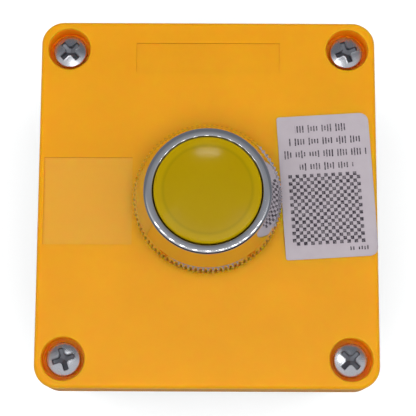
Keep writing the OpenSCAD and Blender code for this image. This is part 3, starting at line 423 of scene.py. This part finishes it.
def lidPlastic(plan):
    material, tree = emptyMaterial("mouldedAbsOrange")
    coord = addNode(tree, "TexCoord").outputs
    plain, skin, bump = mouldedSkin(tree, coord["Object"], plan)
    sized = addNode(tree, "VectorMath", (coord["Object"], (1 / mm,) * 3), operation="MULTIPLY")
    folded = addNode(tree, "VectorMath", (sized,), operation="ABSOLUTE")
    x, y, z = addNode(tree, "SeparateXYZ", (folded,)).outputs

    across = addNode(tree, "Math", (x, plan["fieldMiddle"], plan["fieldHalf"]), operation="COMPARE")
    along = addNode(tree, "Math", (y, plan["fieldHalf"]), operation="LESS_THAN")
    inField = addNode(tree, "Math", (across, along), operation="MULTIPLY")
    # The polished fields take a paler colour, a painted sheen
    withFieldSheen = addNode(tree, "MixRGB", (inField, plain, linear(plan["field"])))

    up = addNode(tree, "SeparateXYZ", (coord["Normal"],)).outputs["Z"]
    # Rounded edges, whose normal leans away from straight up, take a yellower painted shade
    flat = addNode(tree, "MapRange", (up, *plan["edgeRange"]))
    withEdgeShade = addNode(tree, "MixRGB", (flat, linear(plan["edge"]), withFieldSheen))
    # Upright sides take a darker painted shade; the same mask also makes them rougher
    upOrDown = addNode(tree, "Math", (up,), operation="ABSOLUTE")
    upright = addNode(tree, "MapRange", (upOrDown, *plan["sideRange"]))
    withSideShade = addNode(tree, "MixRGB", (upright, withEdgeShade, linear(plan["side"])))

    # Counterbore walls and floors take a bright orange painted glow
    offScrew = addNode(tree, "VectorMath", (folded, plan["screw"]), operation="SUBTRACT")
    level = addNode(tree, "VectorMath", (offScrew, (1, 1, 0)), operation="MULTIPLY")
    fromScrew = addNode(tree, "VectorMath", (level,), operation="LENGTH").outputs["Value"]
    nearScrew = addNode(tree, "Math", (fromScrew, plan["boreRadius"]), operation="LESS_THAN")
    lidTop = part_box("lid_cover")[1].z / mm
    sunk = addNode(tree, "Math", (z, lidTop - plan["boreSunk"]), operation="LESS_THAN")
    boreGlowMask = addNode(tree, "Math", (nearScrew, sunk), operation="MULTIPLY")
    tone = addNode(tree, "MixRGB", (boreGlowMask, withSideShade, linear(plan["bore"])))

    polish, spark = plan["fieldRoughness"] - plan["roughness"], plan["sideRoughness"] - plan["roughness"]
    polished = addNode(tree, "Math", (inField, polish, skin), operation="MULTIPLY_ADD")
    gloss = addNode(tree, "Math", (upright, spark, polished), operation="MULTIPLY_ADD")
    shader = addNode(tree, "BsdfPrincipled", {
        "Base Color": tone, "Roughness": gloss, "Normal": bump, "IOR": plan["ior"],
        "Specular IOR Level": plan["specular"], "Subsurface Weight": plan["weight"],
        "Subsurface Radius": plan["scatterColour"], "Subsurface Scale": plan["scatter"] * mm})
    addNode(tree, "OutputMaterial", (shader,))
    return material


# Polished polycarbonate over a white disc. The skirt behind it shows as a faint line, with a paler rim
# outside. tones gives the colour at each radius in mm, and haze is the size of faint clouds in the gloss
lensFinish = {
    "tones": ((0, "#A48800"), (8.182, "#A48800"), (8.6, "#978000"), (9.1225, "#A98D00"), (10.45, "#A98D00")),
    "roughness": 0.12, "haze": 4, "hazeDetail": 3.0, "hazeGloss": (0.8, 1.2), "ior": 1.585, "specular": 0.08,
    "weight": 0.6, "scatter": 2.2, "scatterColour": (1.0, 0.8, 0.1),
}


def lensPolycarbonate(plan):
    material, tree = emptyMaterial("polishedPolycarbonateYellow")
    place = addNode(tree, "TexCoord").outputs["Object"]
    level = addNode(tree, "VectorMath", (place, (1 / mm, 1 / mm, 0)), operation="MULTIPLY")
    radius = addNode(tree, "VectorMath", (level,), operation="LENGTH").outputs["Value"]
    rim = plan["tones"][-1][0]
    share = addNode(tree, "Math", (radius, rim), operation="DIVIDE")
    tone = addNode(tree, "ValToRGB", (share,))
    stops = tone.color_ramp.elements
    for stop, (at, colour) in zip(stops, (plan["tones"][0], plan["tones"][-1])):
        stop.position, stop.color = at / rim, linear(colour)
    for at, colour in plan["tones"][1:-1]:
        stops.new(at / rim).color = linear(colour)
    haze = addNode(tree, "TexNoise", {"Vector": place, "Scale": 1 / (plan["haze"] * mm),
                                      "Detail": plan["hazeDetail"]})
    gloss = [plan["roughness"] * part for part in plan["hazeGloss"]]
    skin = addNode(tree, "MapRange", (haze, 0, 1, *gloss))
    shader = addNode(tree, "BsdfPrincipled", {
        "Base Color": tone, "Roughness": skin, "IOR": plan["ior"],
        "Specular IOR Level": plan["specular"], "Subsurface Weight": plan["weight"],
        "Subsurface Radius": plan["scatterColour"], "Subsurface Scale": plan["scatter"] * mm})
    addNode(tree, "OutputMaterial", (shader,))
    return material


# Coated label paper with thermal print: rows of short strokes, and under them a chequered block. The print
# is thinner where the paper's fibres stand up. In mm, u runs along the label's width and v along its length.
# The fibres are really about 0.02 mm wide, and drawn as 0.4 mm tufts so that they show
labelPlan = {
    "paper": "#B3AAAF", "deep": "#A89EA3", "ink": "#2E2630", "roughness": 0.6, "ior": 1.45, "specular": 0.3,
    "turn": 3.6, "left": 14.85, "middle": 1.7,
    # Each row's middle, start, end and half-height
    "rows": ((11.9, 3.6, 14.4, 0.85), (9.3, 2.0, 16.8, 0.85), (6.7, 1.0, 17.6, 0.85), (4.1, 4.0, 14.8, 0.85),
             (-12.9, 12.8, 16.8, 0.5)),
    "rowPitch": 2.6, "stroke": 0.56, "strokeShare": 0.5, "shortest": 0.5, "group": 2.8, "gap": 0.45,
    "blockLeft": 1.6, "blockTop": 2.6, "blockSide": 14.4, "square": 0.72,
    "fibre": 0.4, "mottle": 3, "patternDetail": 3.0, "relief": 0.006,
    "wornRange": (0.35, 0.6), "wornInk": 0.6,
}


def labelPaper(plan):
    material, tree = emptyMaterial("coatedLabelPaper")
    place = addNode(tree, "TexCoord").outputs["Object"]
    turned = addNode(tree, "VectorRotate", {"Vector": place, "Angle": -math.radians(plan["turn"])})
    onLabel = addNode(tree, "VectorMath", (turned, (1 / mm,) * 3, (-plan["left"], -plan["middle"], 0)),
                      operation="MULTIPLY_ADD")
    u, v = addNode(tree, "SeparateXYZ", (onLabel,)).outputs[:2]

    # Strokes differ in height by chance
    cells = addNode(tree, "VectorMath", (onLabel, (plan["stroke"], plan["rowPitch"], 1)), operation="DIVIDE")
    cell = addNode(tree, "VectorMath", (cells,), operation="FLOOR")
    chance = addNode(tree, "TexWhiteNoise", (cell,), noise_dimensions="2D")
    tall = addNode(tree, "MapRange", (chance, 0, 1, plan["shortest"], 1))
    rows = 0
    for middle, start, end, half in plan["rows"]:
        reach = addNode(tree, "Math", (tall, half), operation="MULTIPLY")
        across = addNode(tree, "Math", (v, middle, reach), operation="COMPARE")
        along = addNode(tree, "Math", (u, (start + end) / 2, (end - start) / 2), operation="COMPARE")
        row = addNode(tree, "Math", (across, along), operation="MULTIPLY")
        rows = addNode(tree, "Math", (rows, row), operation="MAXIMUM")
    inCell = addNode(tree, "VectorMath", (cells,), operation="FRACTION")
    inStroke = addNode(tree, "SeparateXYZ", (inCell,)).outputs["X"]
    strokes = addNode(tree, "Math", (inStroke, plan["strokeShare"]), operation="LESS_THAN")
    inGroup = addNode(tree, "Math", (u, plan["group"]), operation="FLOORED_MODULO")
    groups = addNode(tree, "Math", (inGroup, plan["gap"]), operation="GREATER_THAN")
    spaced = addNode(tree, "Math", (strokes, groups), operation="MULTIPLY")
    rowInk = addNode(tree, "Math", (rows, spaced), operation="MULTIPLY")

    # Half the sum of a square's two numbers has a fraction of 0.5 in every second square
    fromCorner = addNode(tree, "VectorMath", (onLabel, (plan["blockLeft"], plan["blockTop"], 0)),
                         operation="SUBTRACT")
    squares = addNode(tree, "VectorMath", (fromCorner, (plan["square"],) * 3), operation="DIVIDE")
    square = addNode(tree, "VectorMath", (squares,), operation="FLOOR")
    halfSum = addNode(tree, "VectorMath", (square, (0.5, 0.5, 0)), operation="DOT_PRODUCT").outputs["Value"]
    fraction = addNode(tree, "Math", (halfSum,), operation="FRACT")
    second = addNode(tree, "Math", (fraction, 0.25), operation="GREATER_THAN")
    half = plan["blockSide"] / 2
    across = addNode(tree, "Math", (u, plan["blockLeft"] + half, half), operation="COMPARE")
    along = addNode(tree, "Math", (v, plan["blockTop"] - half, half), operation="COMPARE")
    block = addNode(tree, "Math", (across, along), operation="MULTIPLY")
    blockInk = addNode(tree, "Math", (second, block), operation="MULTIPLY")
    ink = addNode(tree, "Math", (rowInk, blockInk), operation="MAXIMUM")

    fibres = addNode(tree, "TexNoise", {"Vector": place, "Scale": 1 / (plan["fibre"] * mm),
                                        "Detail": plan["patternDetail"]})
    mottle = addNode(tree, "TexNoise", {"Vector": place, "Scale": 1 / (plan["mottle"] * mm),
                                        "Detail": plan["patternDetail"]})
    paper = addNode(tree, "MixRGB", (mottle, linear(plan["deep"]), linear(plan["paper"])))
    wear = addNode(tree, "MapRange", (fibres, *plan["wornRange"], plan["wornInk"], 1))
    dark = addNode(tree, "Math", (ink, wear), operation="MULTIPLY")
    tone = addNode(tree, "MixRGB", (dark, paper, linear(plan["ink"])))
    bump = addNode(tree, "Bump", {"Height": fibres, "Distance": plan["relief"] * mm})
    shader = addNode(tree, "BsdfPrincipled", {
        "Base Color": tone, "Normal": bump, "Roughness": plan["roughness"], "IOR": plan["ior"],
        "Specular IOR Level": plan["specular"]})
    addNode(tree, "OutputMaterial", (shader,))
    return material


# Name, colour, deeper colour of the flow clouds, roughness, IOR, cloud size and relief in mm
plasticPlans = {
    "base": ("mouldedAbsGraphite", "#2B2C2F", "#242528", 0.5, 1.54, 12.0, 0.008),      # dull, coarse spark
    "rubber": ("mouldedNitrileRubber", "#1B1B1B", "#151515", 0.7, 1.52, 4.0, 0.006),   # almost no gloss
    "black": ("mouldedNylonBlack", "#1E1F21", "#18191B", 0.48, 1.53, 6.0, 0.006),      # satin
    "block": ("mouldedNylonGrey", "#3A3B3F", "#323337", 0.5, 1.53, 6.0, 0.006),        # satin
    "cover": ("mouldedNylonPale", "#8B8C8E", "#808184", 0.45, 1.53, 6.0, 0.005),       # satin
    "white": ("mouldedAcetalWhite", "#E6E6E0", "#DCDCD6", 0.35, 1.48, 6.0, 0.004),     # slippery, some shine
    "green": ("mouldedAcetalGreen", "#1E7A3C", "#196A33", 0.38, 1.48, 4.0, 0.004),     # slippery, some shine
    "red": ("mouldedAcetalRed", "#B01E1E", "#9C1A1A", 0.38, 1.48, 4.0, 0.004),         # slippery, some shine
    "glass": ("frostedLampGlass", "#E9E7DC", "#DDDACC", 0.3, 1.5, 4.0, 0.002),         # milky
}
# Name, colour, roughness, and the finest marks' spacing and depth in mm
metalPlans = {
    "zinc": ("brightZincPlate", "#C9CBCF", 0.26, 0.4, 0.0012),        # bluish and bright
    "recessShadeZinc": ("grimyZincPlate", "#86888E", 0.38, 0.25, 0.012),    # darker, a painted shade in a recess
    "spring": ("drawnSpringSteel", "#A7A8AA", 0.3, 0.2, 0.003),       # grey, with the marks of the die
    "brass": ("stampedBrass", "#D9B15E", 0.28, 0.3, 0.004),           # warm and a little hazy
}
materials = {
    "lid": lidPlastic(lidFinish), "lens": lensPolycarbonate(lensFinish),
    "paper": labelPaper(labelPlan), "chrome": chromePlate(chromeFinish),
}
for key, (name, *values) in plasticPlans.items():
    plan = dict(zip(("colour", "deep", "roughness", "ior", "cloud", "relief"), values))
    materials[key] = mouldedPlastic(name, plan)
for key, (name, *values) in metalPlans.items():
    plan = dict(zip(("colour", "roughness", "scratch", "relief"), values))
    materials[key] = bareMetal(name, plan)
print(len(materials), "materials are made")


# Nodes whose own shape is right: each gets its finish
finishOf = {
    "paper_label": "paper", "lid_seal": "rubber", "lens_cap": "lens", "lens_diffuser": "white",
    "push_tube": "white", "tube_oring": "rubber", "barrel_housing": "black", "panel_gasket": "rubber",
    "carrier_plate": "black", "carrier_screws": "zinc", "no_stem": "green", "nc_stem": "red",
    "lamp_block_case": "block", "lamp_socket": "brass", "lamp_contact": "brass", "lamp_cap": "brass",
    "lamp_glass": "glass", "lamp_terminals": "brass", "lamp_clamp_plates": "zinc",
    "lamp_terminal_screws": "zinc",
}
for side in ("no_", "nc_"):
    for part, finish in (("block_case", "block"), ("block_cover", "cover"), ("bridge", "brass"),
                         ("terminals", "brass"), ("clamp_plates", "zinc"), ("terminal_screws", "zinc")):
        finishOf[side + part] = finish
for name, finish in finishOf.items():
    slots = nodes[name].data.materials
    slots.clear()
    slots.append(materials[finish])
print(len(finishOf), "carried-over nodes have their finish")


# The two shells: the solid's own form with its facets smoothed and its sharp edges broken by a small radius.
# Lengths are in mm and angles in degrees
shellPlans = {
    "lid_cover": {"piece": "lidShell", "finish": "lid", "slot": "lid_plastic", "breakEdge": 0.08},
    "base_case": {"piece": "baseShell", "finish": "base", "slot": "base_plastic", "breakEdge": 0.15},
}
shellMesh = {"merge": 0.0005, "flatAngle": 0.3, "sharpAngle": 35, "breakSteps": 2, "breakProfile": 0.5}


def makeShell(node, plan):
    bm = bmesh.new()
    bm.from_mesh(nodes[node].data)
    bmesh.ops.remove_doubles(bm, verts=bm.verts, dist=shellMesh["merge"] * mm)
    flatTo, sharpFrom = math.radians(shellMesh["flatAngle"]), math.radians(shellMesh["sharpAngle"])
    bmesh.ops.dissolve_limit(bm, angle_limit=flatTo, verts=bm.verts, edges=bm.edges)
    sharp = [e for e in bm.edges if len(e.link_faces) == 2 and e.calc_face_angle() > sharpFrom]
    bmesh.ops.bevel(bm, geom=sharp, offset=plan["breakEdge"] * mm, segments=shellMesh["breakSteps"],
                    profile=shellMesh["breakProfile"], affect="EDGES", clamp_overlap=True)
    smoothByAngle(bm, shellMesh["sharpAngle"])
    piece = addObject(plan["piece"], meshFrom(bm, plan["piece"]), materials[plan["finish"]])
    piece.modifiers.new("flatFacesStayFlat", "WEIGHTED_NORMAL").keep_sharp = True
    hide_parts(node)
    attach(piece, "root")


for node, plan in shellPlans.items():
    makeShell(node, plan)
print("both shells are made")


# Ring nut: turned, knurled and plated. Lengths are in mm, and heights are above the lid
ringPlan = {
    "teeth": 92, "toothDepth": 0.35, "gripHeight": 5.0, "slopeHeight": 0.8, "footChamfer": 0.4,
    "neckRadius": 14.1, "topRadius": 12.5, "rounding": 0.8, "boreRadius": 10.7, "boreRounding": 0.15,
    "threadRadius": 11.0, "threadHeight": 5.3, "sharpAngle": 20,
    # Where in one pitch a tooth's outline turns, and how far it stands out there, both as shares
    "tooth": ((0.0, 0.85), (0.06, 1.0), (0.29, 1.0), (0.35, 0.85),
              (0.5, 0.1), (0.56, 0.0), (0.79, 0.0), (0.85, 0.1)),
    # Heights in the knurl, down from its slope and up from its chamfer, that keep its long faces in shape
    "bandTop": 1.5, "bandFoot": 1.0,
    # Parts that each stretch of the section is cut into
    "boreSteps": 4, "lipSteps": 5, "roundingSteps": 16, "flankSteps": 6, "chamferSteps": 4,
}


# Points after a and up to b, each a radius and a height
def straight(a, b, steps):
    return [(a[0] + (b[0] - a[0]) * k / steps, a[1] + (b[1] - a[1]) * k / steps) for k in range(1, steps + 1)]


def arc(radius, height, rounding, start, end, steps):
    turns = [start + (end - start) * k / steps for k in range(steps + 1)]
    return [(radius + rounding * math.cos(a), height + rounding * math.sin(a)) for a in turns]


# The nut's section, from its thread over its top to its foot
def ringSection(plan, height, outer):
    bore, small, large = plan["boreRadius"], plan["boreRounding"], plan["rounding"]
    step, grip, foot, upright = plan["threadHeight"], plan["gripHeight"], plan["footChamfer"], math.pi / 2
    neck, knurlTop = (plan["neckRadius"], grip), (outer, grip - plan["slopeHeight"])
    lean = math.atan2(plan["neckRadius"] - plan["topRadius"], height - grip)
    section = [(plan["threadRadius"], 0), (plan["threadRadius"], step), (bore, step)]
    section += straight((bore, step), (bore, height - small), plan["boreSteps"])[:-1]
    section += arc(bore + small, height - small, small, math.pi, upright, plan["lipSteps"])
    section += arc(plan["topRadius"] - large, height - large, large, upright, lean, plan["roundingSteps"])
    section += straight(section[-1], neck, plan["flankSteps"])
    section += straight(neck, knurlTop, plan["flankSteps"])
    section += [(outer, knurlTop[1] - plan["bandTop"]), (outer, foot + plan["bandFoot"]), (outer, foot)]
    section += straight((outer, foot), (outer - plan["toothDepth"], 0), plan["chamferSteps"])
    return section


def makeRingNut(plan):
    lo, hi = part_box("ring_nut")
    outer, foot = hi.x / mm, lo.z / mm
    root = outer - plan["toothDepth"]
    columns = [(2 * math.pi * (tooth + at) / plan["teeth"], root + plan["toothDepth"] * out)
               for tooth in range(plan["teeth"]) for at, out in plan["tooth"]]
    bm = bmesh.new()
    rings = []
    for radius, height in ringSection(plan, (hi.z - lo.z) / mm, outer):
        ring = []
        for a, reach in columns:
            out = min(radius, reach)
            ring.append(bm.verts.new((out * math.cos(a) * mm, out * math.sin(a) * mm, (foot + height) * mm)))
        rings.append(ring)
    for n, ring in enumerate(rings):
        after = rings[(n + 1) % len(rings)]
        for s in range(len(columns)):
            t = (s + 1) % len(columns)
            bm.faces.new((ring[s], after[s], after[t], ring[t]))
    bmesh.ops.recalc_face_normals(bm, faces=bm.faces)
    smoothByAngle(bm, plan["sharpAngle"])
    piece = addObject("ringNut", meshFrom(bm, "ringNut"), materials["chrome"])
    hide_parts("ring_nut")
    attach(piece, "root")


makeRingNut(ringPlan)
print("ring nut is made")


# Lid screws: pan heads with a cross recess whose wings taper, on a threaded shank. Lengths are in mm and
# angles in degrees. inset is from the four screws' common box to each one's middle
screwPlan = {
    "inset": 3.25, "headRadius": 3.35, "dome": 0.55, "headHeight": 2.6,
    "recessReach": 2.25, "wingHalf": 0.5, "tipDepth": 0.45, "recessDepth": 1.5, "coreRadius": 1.0,
    "wall": 0.12, "burr": 0.04, "burrReach": 0.22, "recessShadeDepth": 0.2,
    # Each corner of the rounded rim, in from the head's radius and down from its dome
    "domeEdge": 0.12, "rim": ((0.03, 0.05), (0, 0.16)), "seatRounding": 0.1, "neckRounding": 0.2,
    "shankRadius": 1.7, "threadDepth": 0.28, "pitch": 1.4, "plainLength": 1.0, "tipLength": 2.2,
    "tipShare": 0.35, "threadEnd": 0.5,
    "turns": (17, 43, 45, 21), "rings": 48, "steps": 160, "sharpAngle": 40,
}


# How deep the cross is at a point of the head, with a burr round its mouth
def recessDepth(x, y):
    plan = screwPlan
    along, across = max(abs(x), abs(y)), min(abs(x), abs(y))
    reach = plan["recessReach"]
    inside = max(min(reach - along, plan["wingHalf"] - across), plan["coreRadius"] - math.hypot(x, y))
    if inside <= 0:
        return -plan["burr"] * max(0, 1 + inside / plan["burrReach"])
    depth = plan["tipDepth"] + (plan["recessDepth"] - plan["tipDepth"]) * (1 - along / reach)
    return depth * min(1, inside / plan["wall"])


# Radius and height of each ring of a screw, from the head's middle to the tip
def screwProfile(plan, top, low):
    head, shank = plan["headRadius"], plan["shankRadius"]
    domeRadius = (head ** 2 + plan["dome"] ** 2) / (2 * plan["dome"])
    profile = []
    for n in range(1, plan["rings"] + 1):
        radius = (head - plan["domeEdge"]) * n / plan["rings"]
        profile.append((radius, top - domeRadius + math.sqrt(domeRadius ** 2 - radius ** 2)))
    edge, seat = top - plan["dome"], top - plan["headHeight"]
    under, neck = plan["seatRounding"], plan["neckRounding"]
    profile += [(head - inward, edge - down) for inward, down in plan["rim"]]
    profile += [(head, seat + under), (head - under, seat), (shank + neck, seat), (shank, seat - neck)]
    z, crest = seat - plan["plainLength"], False
    while z > low + plan["threadEnd"]:
        taper = plan["tipShare"] + (1 - plan["tipShare"]) * min(1, (z - low) / plan["tipLength"])
        profile.append(((shank if crest else shank - plan["threadDepth"]) * taper, z))
        z -= plan["pitch"] / 2
        crest = not crest
    return profile


def addScrew(bm, cx, cy, turn, profile, top, low):
    steps = screwPlan["steps"]

    def vertAt(x, y, z):
        return bm.verts.new(((cx + x * math.cos(turn) - y * math.sin(turn)) * mm,
                             (cy + x * math.sin(turn) + y * math.cos(turn)) * mm, z * mm))

    previous = None
    first = vertAt(0, 0, top - recessDepth(0, 0))
    for n, (radius, height) in enumerate(profile):
        ring, sunk = [], []
        for s in range(steps):
            x, y = radius * math.cos(2 * math.pi * s / steps), radius * math.sin(2 * math.pi * s / steps)
            sunk.append(recessDepth(x, y) if n < screwPlan["rings"] else 0)
            ring.append(vertAt(x, y, height - sunk[s]))
        for s in range(steps):
            t = (s + 1) % steps
            corners = (previous[s], ring[s], ring[t], previous[t]) if previous else (first, ring[s], ring[t])
            # Faces sunk deeper than the shade depth take the second material, whose darker colour is painted
            # shade
            bm.faces.new(corners).material_index = min(sunk[s], sunk[t]) > screwPlan["recessShadeDepth"]
        previous = ring
    end = vertAt(0, 0, low)
    for s in range(steps):
        bm.faces.new((previous[s], end, previous[(s + 1) % steps]))


def makeLidScrews(plan):
    lo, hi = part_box("lid_screws")
    inset, top, low = plan["inset"], hi.z / mm, lo.z / mm
    profile = screwProfile(plan, top, low)
    bm = bmesh.new()
    columns, rows = (lo.x / mm + inset, hi.x / mm - inset), (lo.y / mm + inset, hi.y / mm - inset)
    middles = [(x, y) for x in columns for y in rows]
    for (cx, cy), turn in zip(middles, plan["turns"]):
        addScrew(bm, cx, cy, math.radians(turn), profile, top, low)
    bmesh.ops.recalc_face_normals(bm, faces=bm.faces)
    smoothByAngle(bm, plan["sharpAngle"])
    piece = addObject("lidScrews", meshFrom(bm, "lidScrews"), materials["zinc"])
    # The second material is the recess's painted shade
    piece.data.materials.append(materials["recessShadeZinc"])
    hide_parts("lid_screws")
    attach(piece, "root")


makeLidScrews(screwPlan)
print("lid screws are made")


# Springs: round drawn wire whose end turns are closed.
# hand is -1 for a left-handed coil, and wire is in mm
springPlans = {
    "returnSpring": {"node": "return_spring", "joint": "button_press", "wire": 0.9, "turns": 3.5, "hand": 1},
    "noSpring": {"node": "no_spring", "joint": "no_press", "wire": 0.45, "turns": 6, "hand": -1},
    "ncSpring": {"node": "nc_spring", "joint": "nc_press", "wire": 0.45, "turns": 6, "hand": 1},
}
springMesh = {"steps": 36, "sides": 12, "sharpAngle": 50}    # steps to one turn, and sides round the wire


def makeSpring(name, plan):
    lo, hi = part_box(plan["node"])
    middle, wire, turns = (lo + hi) / 2, plan["wire"] * mm, plan["turns"]
    coilRadius = (hi.x - lo.x - wire) / 2
    low, high = lo.z + wire / 2, hi.z - wire / 2
    rise = (high - low - 2 * wire) / (turns - 2)
    steps, sides = springMesh["steps"], springMesh["sides"]
    bm = bmesh.new()
    rings = []
    for n in range(round(turns * steps) + 1):
        turn = n / steps
        height = low + wire + rise * (turn - 1)
        if turn < 1:                                # the closed turns at both ends rise by the wire alone
            height = low + wire * turn
        elif turn > turns - 1:
            height = high - wire * (turns - turn)
        ring = []
        for s in range(sides):
            a, b = 2 * math.pi * turn, 2 * math.pi * s / sides
            reach = coilRadius + wire / 2 * math.cos(b)
            x, y = middle.x + plan["hand"] * reach * math.cos(a), middle.y + reach * math.sin(a)
            ring.append(bm.verts.new((x, y, height + wire / 2 * math.sin(b))))
        rings.append(ring)
    for before, after in zip(rings, rings[1:]):
        for s in range(sides):
            t = (s + 1) % sides
            bm.faces.new((before[s], before[t], after[t], after[s]))
    bm.faces.new(rings[0])
    bm.faces.new(rings[-1])
    bmesh.ops.recalc_face_normals(bm, faces=bm.faces)
    smoothByAngle(bm, springMesh["sharpAngle"])
    piece = addObject(name, meshFrom(bm, name), materials["spring"])
    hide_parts(plan["node"])
    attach(piece, "root")
    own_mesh(piece)


for name, plan in springPlans.items():
    makeSpring(name, plan)
print("springs are made")

makeMirrorLamps()
print("lamps that the gloss mirrors are made")

scene.view_settings.view_transform = "Standard"
